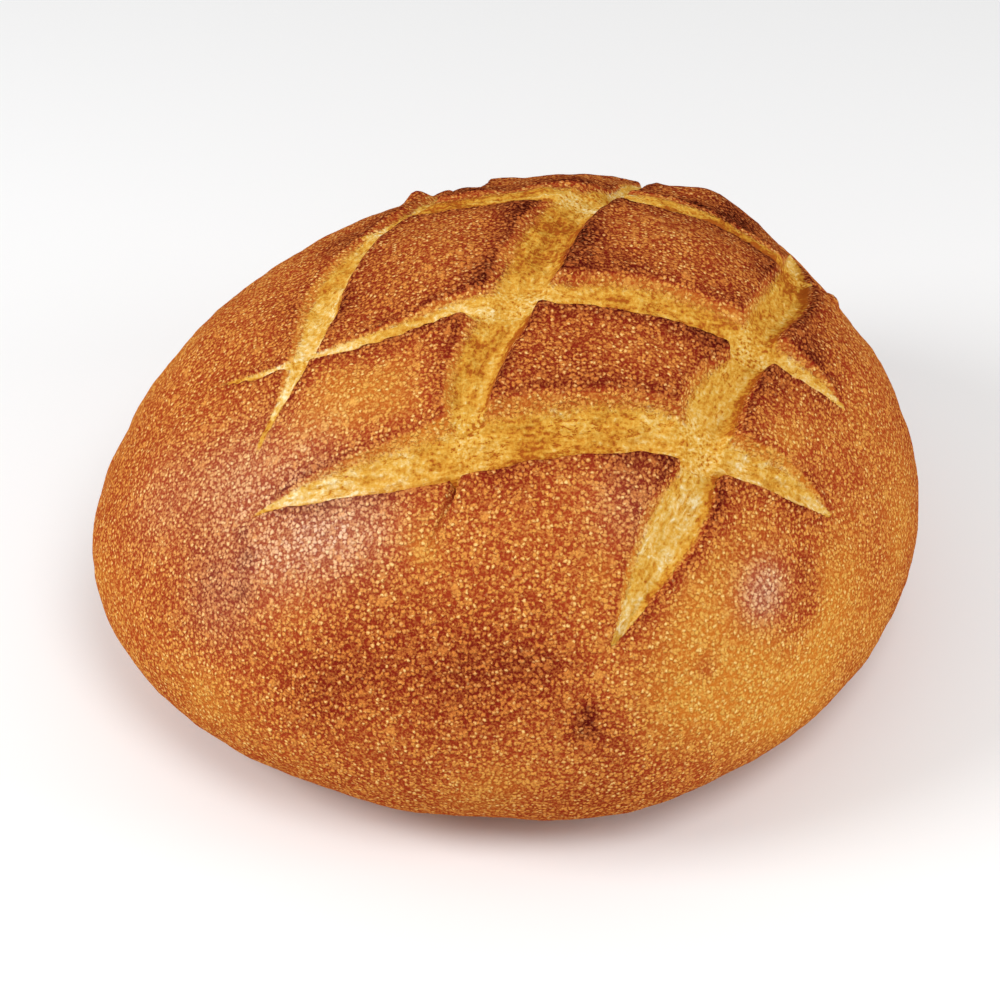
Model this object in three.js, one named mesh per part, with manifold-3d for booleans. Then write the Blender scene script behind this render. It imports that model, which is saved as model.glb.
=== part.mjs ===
// Sourdough loaf: a round hearth-baked loaf with a high dome, a flat base and a lattice of
// slashes that opened in the oven. It is one solid. Units are millimetres, +Z is up, and the
// origin is the middle of the base.
//
// A place on the dome is named by two lengths on the "crown map": u to the right and v to the
// back, both measured along the crust from the top of the dome, as if the crust were unrolled.
import * as THREE from "three";
import { mergeVertices } from "three/addons/utils/BufferGeometryUtils.js";
import Module from "manifold-3d";

// ---------------------------------------------------------------------------
// Driving dimensions
// ---------------------------------------------------------------------------
const LOAF_RADIUS = 120; // mean radius at the widest level
const LOAF_HEIGHT = 127; // base to crown, before the crust's puffing
const WIDEST_HEIGHT = 35; // height of the widest level above the base
const FOOT_SHARE = 0.67; // radius of the flat base, as a share of the widest radius
const DOME_POWER = 1.17; // above 1, the dome is a little more peaked than an ellipse
const CROWN_LEAN = { right: 9, back: -4 }; // where the crown stands, from the base's middle
const CROWN_SCALE = 108; // length on the crown map of one radian down the dome
const CROWN_FADE = 1.5; // how quickly the lean fades downwards and the outline's waves upwards

const PUFF_HEIGHT = 2.2; // the crust between two slashes stands this much prouder
const PUFF_REACH = 17; // distance from a slash at which the puffing is nearly full

const SLASH_DEPTH_SHARE = 0.36; // depth of a slash as a share of its whole width
const SLASH_END_WIDTH = 0.7; // half width at the tips, where the blade left the dough
const SLASH_END_DEPTH = 1.3;
const SLASH_LIFT = 6; // how far a cutter stands above the crust

// Waves that make the outline, seen from above, uneven: count round the loaf, height, and
// the bearing, in degrees, at which the wave's argument is zero.
const OUTLINE_WAVES = [
  { count: 2, height: 6.6, phase: 86 },
  { count: 3, height: 4.2, phase: -170 },
  { count: 4, height: 0.7, phase: -76 },
  { count: 5, height: 1.3, phase: -57 },
  { count: 6, height: 0.8, phase: -18 },
];

// Each slash is a line of [u, v, half width] on the crown map. "across" slashes run left to
// right, from the front of the loaf to its back, and "along" slashes run front to back.
const SLASHES = {
  acrossFront: [[-81, -71, 0], [-73, -70, 1.4], [-49, -67, 5.5], [-12, -61, 9.5], [25, -57, 9],
    [58, -61, 5], [95, -62, 0]],
  acrossMiddle: [[-92, -18, 0], [-76, -23, 1.3], [-53, -25, 2.2], [-36, -23, 3.2], [-13, -18, 5.2],
    [27, -17, 8], [60, -23, 6.5], [90, -26, 0]],
  acrossBack: [[-62, 26, 0], [-42, 35, 4.2], [-20, 36, 5.2], [4, 37, 7], [26, 37, 4.5], [48, 36, 3.4],
    [66, 31, 3.6], [90, 27, 0]],
  acrossRear: [[-52, 84, 0], [-16, 86, 6.5], [24, 87, 7], [69, 72, 0]],
  alongLeft: [[-77, -54, 0], [-69, -34, 2.4], [-60, -14, 5.6], [-57, 6, 6.6], [-48, 28, 5.5],
    [-35, 46, 6], [-16, 92, 5], [-6, 112, 0]],
  alongMiddle: [[-31, -95, 0], [-26, -84, 0.8], [-21, -72, 1.3], [-19, -43, 6.5], [-7, -9, 8],
    [2, 20, 8], [13, 38, 6], [20, 50, 3.5], [28, 66, 4], [42, 106, 0]],
  alongRight: [[23, -119, 0], [34, -88, 8], [42, -69, 5.4], [45, -50, 7.6], [53, -29, 6.4],
    [58, -12, 7.5], [72, 21, 7], [78, 60, 0]],
};

// Resolution of the facets
const STEPS_ROUND = 76;
const STEPS_DOWN_DOME = 24;
const STEPS_UNDER = 5;
const STEPS_ALONG_SLASH = 18;
const JOIN_DISTANCE = 1e-3; // points closer than this are one point

// ---------------------------------------------------------------------------
// The dome
// ---------------------------------------------------------------------------
const radians = THREE.MathUtils.degToRad;
const QUARTER_TURN = Math.PI / 2;

// Radius of the widest outline at a bearing.
function outlineRadius(bearing) {
  let radius = LOAF_RADIUS;
  for (const { count, height, phase } of OUTLINE_WAVES) {
    radius += height * Math.cos(count * bearing - radians(phase));
  }
  return radius;
}

// A point on the smooth dome, at an angle down from the crown and a bearing.
function domePoint(down, bearing) {
  const outwards = Math.sin(down);
  const up = Math.max(Math.cos(down), 0) ** DOME_POWER;
  const spread = outwards ** CROWN_FADE;
  const radius = outwards * THREE.MathUtils.lerp(LOAF_RADIUS, outlineRadius(bearing), spread);
  return new THREE.Vector3(
    radius * Math.cos(bearing) + CROWN_LEAN.right * up ** CROWN_FADE,
    radius * Math.sin(bearing) + CROWN_LEAN.back * up ** CROWN_FADE,
    WIDEST_HEIGHT + (LOAF_HEIGHT - WIDEST_HEIGHT) * up,
  );
}

// A point on the curve under the widest level, from 0 at that level to 1 at the foot.
function underPoint(share, bearing) {
  const turn = share * QUARTER_TURN;
  const widest = outlineRadius(bearing);
  const foot = widest * FOOT_SHARE;
  const radius = foot + (widest - foot) * Math.cos(turn);
  return new THREE.Vector3(
    radius * Math.cos(bearing),
    radius * Math.sin(bearing),
    WIDEST_HEIGHT * (1 - Math.sin(turn)),
  );
}

// A point of the smooth dome by its place on the crown map.
function crownPoint(u, v) {
  return domePoint(Math.hypot(u, v) / CROWN_SCALE, Math.atan2(v, u));
}

// The outward direction of the smooth dome at a place on the crown map.
function crownNormal(u, v) {
  const step = 0.5;
  const alongU = crownPoint(u + step, v).sub(crownPoint(u - step, v));
  const alongV = crownPoint(u, v + step).sub(crownPoint(u, v - step));
  return alongU.cross(alongV).normalize();
}

// ---------------------------------------------------------------------------
// The slashes' lines
// ---------------------------------------------------------------------------

// A slash's line as a curve whose x and y are u and v, and whose z is the half width.
function slashCurve(line) {
  return new THREE.CatmullRomCurve3(line.map(([u, v, half]) => new THREE.Vector3(u, v, half)));
}

const slashCurves = Object.values(SLASHES).map(slashCurve);
const slashPoints = slashCurves.flatMap((curve) => curve.getSpacedPoints(STEPS_ALONG_SLASH * 2));

// Distance on the crown map from a place to the nearest slash's edge, at least 0.
function distanceToSlash(u, v) {
  let nearest = Infinity;
  for (const { x, y, z } of slashPoints) {
    nearest = Math.min(nearest, Math.hypot(x - u, y - v) - z);
  }
  return Math.max(nearest, 0);
}

// How far the crust is puffed up at a place on the crown map: most in the middle of a tile
// between slashes, and nothing below the widest level.
function puffHeight(u, v) {
  const near = 1 - Math.exp(-((distanceToSlash(u, v) / PUFF_REACH) ** 2));
  const down = Math.hypot(u, v) / CROWN_SCALE;
  return PUFF_HEIGHT * near * Math.max(Math.cos(down), 0);
}

// ---------------------------------------------------------------------------
// Closed surfaces from rings of points
// ---------------------------------------------------------------------------

// A closed geometry from rings of equally many points, closed at both ends by a fan round
// the given end points. The rings run so that the faces point outwards.
function ringGeometry(rings, firstEnd, lastEnd) {
  const around = rings[0].length;
  const positions = [firstEnd, ...rings.flat(), lastEnd].flatMap((p) => p.toArray());
  const lastIndex = rings.length * around + 1;
  const at = (ring, k) => 1 + ring * around + (k % around);
  const index = [];
  for (let k = 0; k < around; k++) {
    index.push(0, at(0, k), at(0, k + 1));
    for (let ring = 0; ring + 1 < rings.length; ring++) {
      index.push(at(ring, k), at(ring + 1, k), at(ring + 1, k + 1));
      index.push(at(ring, k), at(ring + 1, k + 1), at(ring, k + 1));
    }
    index.push(at(rings.length - 1, k), lastIndex, at(rings.length - 1, k + 1));
  }
  const geometry = new THREE.BufferGeometry();
  geometry.setAttribute("position", new THREE.Float32BufferAttribute(positions, 3));
  geometry.setIndex(index);
  return geometry;
}

// The whole loaf before it is slashed.
function bodyGeometry() {
  const bearings = Array.from({ length: STEPS_ROUND }, (_, k) => (k / STEPS_ROUND) * 2 * Math.PI);
  const rings = [];
  for (let step = 1; step <= STEPS_DOWN_DOME; step++) {
    const down = (step / STEPS_DOWN_DOME) * QUARTER_TURN;
    rings.push(bearings.map((bearing) => {
      const u = CROWN_SCALE * down * Math.cos(bearing);
      const v = CROWN_SCALE * down * Math.sin(bearing);
      return crownPoint(u, v).addScaledVector(crownNormal(u, v), puffHeight(u, v));
    }));
  }
  for (let step = 1; step <= STEPS_UNDER; step++) {
    rings.push(bearings.map((bearing) => underPoint(step / STEPS_UNDER, bearing)));
  }
  const crown = crownPoint(0, 0).addScaledVector(crownNormal(0, 0), puffHeight(0, 0));
  return ringGeometry(rings, crown, new THREE.Vector3(0, 0, 0));
}

// The section of a slash's cutter: shares of the half width across it, and of the depth
// below the crust. The blade leaned, so one wall is steep and the other slopes gently. Two
// corners above the crust close it.
const SECTION = [[1, 0], [0.62, -0.36], [0.1, -0.82], [-0.45, -1], [-0.86, -0.78], [-1, 0]];

// The cutter that opens one slash.
function cutterGeometry(curve) {
  const rings = [];
  const middles = [];
  for (let step = 0; step <= STEPS_ALONG_SLASH; step++) {
    const share = step / STEPS_ALONG_SLASH;
    const at = curve.getPointAt(share);
    const heading = curve.getTangentAt(share);
    const ahead = crownPoint(at.x + heading.x, at.y + heading.y).sub(crownPoint(at.x, at.y));
    const out = crownNormal(at.x, at.y);
    const side = out.clone().cross(ahead).normalize();
    const half = Math.max(at.z, SLASH_END_WIDTH);
    const depth = Math.max(2 * at.z * SLASH_DEPTH_SHARE, SLASH_END_DEPTH);
    const middle = crownPoint(at.x, at.y);
    const corner = (across, height) =>
      middle.clone().addScaledVector(side, across * half).addScaledVector(out, height);
    rings.push([
      ...SECTION.map(([across, below]) => corner(across, below * depth)),
      corner(-1, SLASH_LIFT),
      corner(1, SLASH_LIFT),
    ]);
    middles.push(corner(0, 0));
  }
  return ringGeometry(rings, middles[0], middles[middles.length - 1]);
}

// ---------------------------------------------------------------------------
// Cutting
// ---------------------------------------------------------------------------
const wasm = await Module();
wasm.setup();

// A closed geometry as a solid.
function solidOf(geometry) {
  const merged = mergeVertices(geometry, JOIN_DISTANCE);
  return new wasm.Manifold(new wasm.Mesh({
    numProp: 3,
    vertProperties: merged.attributes.position.array,
    triVerts: new Uint32Array(merged.index.array),
  }));
}

// A solid as a geometry.
function geometryOf(solid) {
  const { vertProperties, triVerts } = solid.getMesh();
  const geometry = new THREE.BufferGeometry();
  geometry.setAttribute("position", new THREE.BufferAttribute(new Float32Array(vertProperties), 3));
  geometry.setIndex(new THREE.BufferAttribute(new Uint32Array(triVerts), 1));
  return geometry;
}

// The slashed loaf, with the middle of its box over the origin and its base at height 0.
function loafGeometry() {
  const cutters = slashCurves.map((curve) => solidOf(cutterGeometry(curve)));
  const slashed = solidOf(bodyGeometry()).subtract(wasm.Manifold.union(cutters));
  const { min, max } = slashed.boundingBox();
  const centred = slashed.translate([-(min[0] + max[0]) / 2, -(min[1] + max[1]) / 2, 0]);
  const geometry = geometryOf(centred);
  geometry.computeVertexNormals();
  return geometry;
}

// ---------------------------------------------------------------------------
// The object
// ---------------------------------------------------------------------------
const bakedCrust = new THREE.MeshStandardMaterial({ color: 0xb8692a, roughness: 0.55, metalness: 0 });

const loaf = new THREE.Mesh(loafGeometry(), bakedCrust);
loaf.name = "loaf";

const sourdoughLoaf = new THREE.Group();
sourdoughLoaf.add(loaf);

export default sourdoughLoaf;
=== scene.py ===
"""A round sourdough loaf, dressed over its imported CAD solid.

One closed mesh, the baked loaf, stands for the CAD node. It has the same dome, flat base and
slashes, with lifted crust edges, torn crumb, lumps and blisters added. Lengths inside the
classes are in millimetres and become metres when a mesh is written.

A place on the dome is named by two lengths on the "crown map": u to the right and v to the
back, both measured along the crust from the top of the dome, as if the crust were unrolled.
"""

import logging
import math
from collections.abc import Callable
from dataclasses import dataclass, field
from enum import Enum
from typing import Union

import bpy
import numpy as np
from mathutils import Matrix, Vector, noise

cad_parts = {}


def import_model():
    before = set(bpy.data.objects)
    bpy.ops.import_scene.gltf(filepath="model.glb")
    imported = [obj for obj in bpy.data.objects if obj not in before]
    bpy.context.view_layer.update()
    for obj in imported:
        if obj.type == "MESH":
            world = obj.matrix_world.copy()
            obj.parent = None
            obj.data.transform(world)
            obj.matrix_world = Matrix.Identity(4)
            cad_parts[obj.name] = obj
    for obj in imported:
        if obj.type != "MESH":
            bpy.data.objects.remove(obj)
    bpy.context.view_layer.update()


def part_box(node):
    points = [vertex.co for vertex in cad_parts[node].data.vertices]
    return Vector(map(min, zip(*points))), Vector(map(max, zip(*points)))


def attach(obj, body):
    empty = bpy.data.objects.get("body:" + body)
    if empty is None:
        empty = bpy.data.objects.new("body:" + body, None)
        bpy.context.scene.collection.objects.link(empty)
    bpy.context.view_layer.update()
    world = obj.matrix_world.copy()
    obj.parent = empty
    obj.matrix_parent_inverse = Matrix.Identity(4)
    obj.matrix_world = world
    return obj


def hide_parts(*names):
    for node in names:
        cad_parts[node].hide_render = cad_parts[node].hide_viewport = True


MM = 0.001
TINY = 1e-9
NODE = "loaf"
CROWN_MAP = "crown_map"
FIBRE_TURN = math.radians(71.0)
FIBRE_SQUEEZE = 0.42
NOISE_STRIDE = np.array([17.3, 5.7, 11.9])
NOISE_FADE = 1.0
NOISE_STEP = 2.0
NOISE_MIDDLE = (0.5, 0.5, 0.5)
OUTWARD_STRETCH = np.array([1.0, 1.0, 1.25])

log = logging.getLogger("loaf")


# ---------------------------------------------------------------------------
# Small helpers
# ---------------------------------------------------------------------------
@dataclass(frozen=True)
class Rise:
    """A smooth rise from 0 at low to 1 at high, or a fall where high is below low."""

    low: float
    high: float

    def at(self, value: np.ndarray) -> np.ndarray:
        """Reads the rise.

        Args:
            value: The values to map.

        Returns:
            The mapped values, from 0 to 1.
        """
        share = np.clip((value - self.low) / (self.high - self.low), 0.0, 1.0)
        return share * share * (3.0 - 2.0 * share)


def linear(red: float, green: float, blue: float) -> tuple[float, float, float, float]:
    """Turns a display colour into the linear colour that shaders use, by the sRGB curve.

    Args:
        red: Red as displayed, from 0 to 1.
        green: Green as displayed.
        blue: Blue as displayed.

    Returns:
        The linear colour with full alpha.
    """
    values = [c / 12.92 if c <= 0.04045 else ((c + 0.055) / 1.055) ** 2.4
              for c in (red, green, blue)]
    return (values[0], values[1], values[2], 1.0)


def noise_at(places: np.ndarray, size: float, seed: float, octaves: int = 2) -> np.ndarray:
    """Smooth noise from about -1 to 1 at each place.

    Args:
        places: One row of three coordinates for each place, in millimetres.
        size: The size of the noise's lumps, in millimetres.
        seed: Moves the pattern, so that each use has its own.
        octaves: How many layers, each finer than the last, are added up.

    Returns:
        One value for each place.
    """
    moved = places / size + seed * NOISE_STRIDE
    return np.array([noise.fractal(Vector(p), NOISE_FADE, NOISE_STEP, octaves) for p in moved])


@dataclass(frozen=True)
class Lumps:
    """One layer of lumps, which moves a surface in and out."""

    height: float
    size: float
    seed: float
    octaves: int = 2

    def at(self, places: np.ndarray) -> np.ndarray:
        """How far outwards the layer moves each place, in millimetres."""
        return self.height * noise_at(places, self.size, self.seed, self.octaves)


def fibre_places(unrolled: np.ndarray, turn: float) -> np.ndarray:
    """Squeezes the crown map along one direction, so that noise on it makes fibres.

    Args:
        unrolled: Places on the crown map.
        turn: The fibres' angle from the right, in radians.

    Returns:
        The squeezed places.
    """
    along = unrolled[:, 0] * math.cos(turn) + unrolled[:, 1] * math.sin(turn)
    across = unrolled[:, 1] * math.cos(turn) - unrolled[:, 0] * math.sin(turn)
    return np.stack([along * FIBRE_SQUEEZE, across, unrolled[:, 2]], axis=1)


def outward(direction: np.ndarray) -> np.ndarray:
    """Rough outward directions of the loaf, for roughening it."""
    out = direction * OUTWARD_STRETCH
    return out / np.linalg.norm(out, axis=1, keepdims=True)


# ---------------------------------------------------------------------------
# The loaf's shape
# ---------------------------------------------------------------------------
@dataclass(frozen=True)
class OutlineWave:
    """One wave that makes the outline, seen from above, uneven; its phase is in degrees."""

    count: int
    height: float
    phase: float


@dataclass(frozen=True)
class Dome:
    """The smooth loaf without its slashes: a dome over a curve that runs under to a flat base.

    The radius is the widest outline's and foot share is the base's share of it. Power rounds the
    dome's side, and the leans move its top. Crown scale is the length along the crust for each
    radian down from the top. Crown fade is how late the outline's waves and the lean come in.
    Under share is the part of the way from the widest level to the base's middle that turns.
    """

    radius: float = 120.0
    height: float = 127.0
    widest_height: float = 35.0
    foot_share: float = 0.67
    power: float = 1.17
    lean_right: float = 9.0
    lean_back: float = -4.0
    crown_scale: float = 108.0
    crown_fade: float = 1.5
    under_share: float = 0.42
    normal_step: float = 0.5
    waves: tuple[OutlineWave, ...] = (
        OutlineWave(2, 6.6, 86.0),
        OutlineWave(3, 4.2, -170.0),
        OutlineWave(4, 0.7, -76.0),
        OutlineWave(5, 1.3, -57.0),
        OutlineWave(6, 0.8, -18.0),
    )

    def outline_radius(self, bearing: np.ndarray) -> np.ndarray:
        """Radius of the widest outline at each bearing."""
        waves = [w.height * np.cos(w.count * bearing - math.radians(w.phase)) for w in self.waves]
        return self.radius + sum(waves)

    def point(self, u: np.ndarray, v: np.ndarray) -> np.ndarray:
        """Points of the smooth dome by their places on the crown map.

        Args:
            u: Lengths to the right along the crust.
            v: Lengths to the back along the crust.

        Returns:
            One row of x, y and z for each place.
        """
        down = np.clip(np.hypot(u, v) / self.crown_scale, 0.0, math.pi / 2)
        bearing = np.arctan2(v, u)
        out = np.sin(down)
        up = np.cos(down) ** self.power
        spread = out**self.crown_fade
        radius = out * (self.radius * (1.0 - spread) + self.outline_radius(bearing) * spread)
        lean = up**self.crown_fade
        x = radius * np.cos(bearing) + self.lean_right * lean
        y = radius * np.sin(bearing) + self.lean_back * lean
        z = self.widest_height + (self.height - self.widest_height) * up
        return np.stack([x, y, z], axis=1)

    def normal(self, u: np.ndarray, v: np.ndarray) -> np.ndarray:
        """Outward directions of the smooth dome at places on the crown map.

        Args:
            u: Lengths to the right along the crust.
            v: Lengths to the back along the crust.

        Returns:
            One row for each place, each of length 1.
        """
        step = self.normal_step
        along_u = self.point(u + step, v) - self.point(u - step, v)
        along_v = self.point(u, v + step) - self.point(u, v - step)
        across = np.cross(along_u, along_v)
        return across / np.maximum(np.linalg.norm(across, axis=1, keepdims=True), TINY)

    def under(self, share: np.ndarray, bearing: np.ndarray) -> np.ndarray:
        """Points below the widest level, from 0 at that level to 1 at the middle of the base.

        Args:
            share: How far down and in each point is.
            bearing: The bearing of each point.

        Returns:
            One row of x, y and z for each point.
        """
        widest = self.outline_radius(bearing)
        foot = widest * self.foot_share
        turn = np.clip(share / self.under_share, 0.0, 1.0) * math.pi / 2
        inwards = np.clip((share - self.under_share) / (1.0 - self.under_share), 0.0, 1.0)
        radius = (foot + (widest - foot) * np.cos(turn)) * (1.0 - inwards)
        z = self.widest_height * (1.0 - np.sin(turn))
        return np.stack([radius * np.cos(bearing), radius * np.sin(bearing), z], axis=1)


@dataclass(frozen=True)
class SlashSection:
    """The section of an opened slash, in half widths.

    The gentle wall is on the left of the slash's heading, at +1, and the steep wall under the
    crust edge is on the right, at -1. Crumb says where crust ends there and crumb is bare. The
    curves are read from a fine table, softened over a few of its points to each side.
    """

    place: tuple[float, ...]
    across: tuple[float, ...]
    height: tuple[float, ...]
    crumb: Rise = Rise(-1.08, -1.0)
    table_points: int = 521
    softened: int = 9

    def read(self, values: tuple[float, ...], place: np.ndarray) -> np.ndarray:
        """Reads one of the section's curves, softened between its points.

        Args:
            values: The curve's values, one for each place of the section.
            place: Where to read it, in half widths from the middle line.

        Returns:
            The value at each place.
        """
        fine = np.linspace(self.place[0], self.place[-1], self.table_points)
        table = np.interp(fine, self.place, values)
        window = np.hanning(2 * self.softened + 1)
        padded = np.pad(table, self.softened, mode="edge")
        table = np.convolve(padded, window / window.sum(), mode="valid")
        return np.interp(place, fine, table)


class SlashKind(Enum):
    """How a slash opened in the oven, with its section.

    A lifted one has a raised crust edge over its steep wall. A bulged one is nearly filled by
    crumb that rose. A spread one was pulled apart, and its crumb starts in from the edge.
    """

    LIFTED = SlashSection(
        place=(-3.0, -1.9, -1.4, -1.18, -1.06, -1.0, -0.9, -0.76, -0.55, -0.35, 0.0, 0.4, 0.75, 1.0,
               1.25, 1.8, 2.8),
        across=(-3.0, -1.84, -1.24, -0.95, -0.81, -0.8, -0.8, -0.74, -0.55, -0.35, 0.0, 0.42, 0.78,
                1.0, 1.25, 1.8, 2.8),
        height=(0.0, 0.07, 0.18, 0.27, 0.25, -0.05, -0.42, -0.6, -0.48, -0.52, -0.48, -0.36, -0.2,
                -0.02, 0.09, 0.06, 0.0),
    )
    BULGED = SlashSection(
        place=(-3.0, -1.9, -1.4, -1.14, -1.0, -0.88, -0.7, -0.3, 0.1, 0.5, 0.8, 1.0, 1.25, 1.8, 2.8),
        across=(-3.0, -1.9, -1.4, -1.14, -1.0, -0.88, -0.7, -0.3, 0.1, 0.5, 0.8, 1.0, 1.25, 1.8, 2.8),
        height=(0.0, 0.0, 0.0, -0.01, -0.06, -0.12, -0.1, -0.02, 0.06, 0.1, 0.09, 0.16, 0.22, 0.12,
                0.0),
    )
    SPREAD = SlashSection(
        place=(-3.0, -1.9, -1.4, -1.14, -1.02, -0.92, -0.78, -0.6, -0.35, 0.0, 0.4, 0.75, 1.0, 1.25,
               1.8, 2.8),
        across=(-3.0, -1.9, -1.4, -1.14, -1.0, -0.9, -0.78, -0.6, -0.35, 0.0, 0.4, 0.75, 1.0, 1.25,
                1.8, 2.8),
        height=(0.0, 0.07, 0.16, 0.2, 0.12, -0.04, -0.26, -0.44, -0.5, -0.48, -0.38, -0.2, -0.03,
                0.07, 0.05, 0.0),
        crumb=Rise(-1.0, -0.78),
    )


@dataclass(frozen=True)
class Slash:
    """One cut of the blade, as a line of (u, v, half width) on the crown map.

    Slope says where crust gives way to crumb on the gentle wall, in half widths, and rim how
    much that wall's edge is browned. Opening says from what half width the slash shows crumb.
    Steps is how many points the line is drawn with.
    """

    name: str
    line: tuple[tuple[float, float, float], ...]
    kind: SlashKind = SlashKind.LIFTED
    slope: Rise = Rise(0.85, 0.15)
    rim: float = 1.0
    opening: Rise = Rise(0.2, 1.2)
    steps: int = 90

    @property
    def section(self) -> SlashSection:
        """The section that the slash opened with."""
        return self.kind.value

    def curve(self) -> np.ndarray:
        """Draws the line as a smooth run of points.

        Returns:
            One row of u, v and half width for each point.
        """
        ends = np.array(self.line)
        points = np.vstack([2 * ends[0] - ends[1], ends, 2 * ends[-1] - ends[-2]])
        found = []
        for place in np.linspace(0, len(ends) - 1, self.steps):
            k = min(int(place), len(ends) - 2)
            s = place - k
            before, here, there, after = points[k : k + 4]
            found.append(0.5 * (2 * here + (there - before) * s
                                + (2 * before - 5 * here + 4 * there - after) * s**2
                                + (3 * here - before - 3 * there + after) * s**3))
        return np.array(found)

    def measure(self, u: np.ndarray, v: np.ndarray) -> tuple[np.ndarray, np.ndarray, np.ndarray]:
        """Where places on the crown map are, seen from this slash.

        Args:
            u: Lengths to the right along the crust.
            v: Lengths to the back along the crust.

        Returns:
            For each place: the distance to the slash's left (negative to its right), the
            slash's half width there, and the slash's left direction on the crown map.
        """
        curve = self.curve()
        start, run = curve[:-1], np.diff(curve, axis=0)
        length = np.hypot(run[:, 0], run[:, 1])
        best = np.full(len(u), np.inf)
        across, half = np.zeros(len(u)), np.zeros(len(u))
        left = np.zeros((len(u), 2))
        for k in range(len(run)):
            du, dv = run[k, 0] / length[k], run[k, 1] / length[k]
            ahead = (u - start[k, 0]) * du + (v - start[k, 1]) * dv
            side = (v - start[k, 1]) * du - (u - start[k, 0]) * dv
            over = ahead - np.clip(ahead, 0.0, length[k])
            distance = np.hypot(over, side)
            nearer = distance < best
            best[nearer] = distance[nearer]
            across[nearer] = np.copysign(distance, side)[nearer]
            half[nearer] = start[k, 2] + run[k, 2] * np.clip(ahead[nearer] / length[k], 0.0, 1.0)
            left[nearer] = (-dv, du)
        return across, np.maximum(half, 0.0), left


SLASHES = (
    Slash("across_front",
          ((-82, -69, 0), (-70, -67.2, 1.6), (-62, -66.8, 3.8), (-49, -66.6, 6.3), (-31, -65.5, 9),
           (-14, -62.3, 10.3), (25, -57, 9), (45, -60, 7.6), (60, -61.5, 6.3), (72, -62, 5.6),
           (84, -63, 3.4), (93, -64, 0)),
          SlashKind.LIFTED, Rise(1.12, 0.22)),
    Slash("across_middle",
          ((-92, -18, 0), (-76, -23, 1.3), (-53, -25, 2.2), (-36, -23, 3.2), (-13, -18, 5.2),
           (27, -17, 8), (60, -23, 6.8), (76, -24.7, 4.6), (91, -26.6, 0)),
          SlashKind.LIFTED, Rise(1.1, 0.15)),
    Slash("across_back",
          ((-54, 30, 0), (-42, 35, 4.0), (-20, 36, 5.2), (4, 37, 7), (26, 37, 4.5), (48, 36, 3.4),
           (66, 31, 3.6), (90, 27, 0)),
          SlashKind.BULGED, Rise(0.95, 0.0)),
    Slash("across_rear",
          ((-52, 84, 0), (-16, 86, 6.5), (24, 87, 7), (69, 72, 0))),
    Slash("along_left",
          ((-77, -54, 0), (-73, -46, 1), (-68.5, -37, 1.7), (-65.5, -31, 2.6), (-63, -25, 3.6),
           (-60, -14, 5.4), (-57, 6, 6.6), (-48, 28, 5.5), (-35, 46, 6), (-16, 92, 5), (-6, 112, 0)),
          SlashKind.SPREAD, Rise(0.95, 0.3), 0.7),
    Slash("along_middle",
          ((-31, -95, 0), (-26, -84, 0.8), (-21, -72, 1.3), (-19, -43, 6.5), (-7, -9, 8),
           (2, 20, 8), (13, 38, 6), (20, 50, 3.5), (28, 66, 4), (42, 106, 0)),
          SlashKind.SPREAD, Rise(1.15, 0.35), 1.0, Rise(1.2, 2.2)),
    Slash("along_right",
          ((23, -119, 0), (34, -88, 8.1), (38, -77, 8.6), (41.5, -66, 6.6), (43, -50, 9.6),
           (46.5, -41, 8.2), (53, -29, 5.4), (55.5, -21, 5.2), (58, -12, 6.6), (72, 21, 7),
           (78, 60, 0)),
          SlashKind.SPREAD, Rise(1.15, 0.35), 0.7),
)


@dataclass(frozen=True)
class Spot:
    """A round patch on the crown map, with how far it reaches and how strong its middle is."""

    u: float
    v: float
    reach: float
    strength: float

    def weight(self, u: np.ndarray, v: np.ndarray) -> np.ndarray:
        """How strongly each place is in the patch, from 0 to the patch's strength."""
        return self.strength * np.exp(-((u - self.u) ** 2 + (v - self.v) ** 2) / self.reach**2)


def patches(*rows: tuple[float, float, float, float]) -> tuple[Spot, ...]:
    """Makes round patches from rows of u, v, reach and strength."""
    return tuple(Spot(*row) for row in rows)


def total(spots: tuple[Spot, ...], u: np.ndarray, v: np.ndarray) -> np.ndarray:
    """Adds up what all the patches of a set do at each place.

    Args:
        spots: The patches.
        u: Lengths to the right along the crust.
        v: Lengths to the back along the crust.

    Returns:
        One value for each place.
    """
    return sum((spot.weight(u, v) for spot in spots), np.zeros(len(u)))


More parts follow.
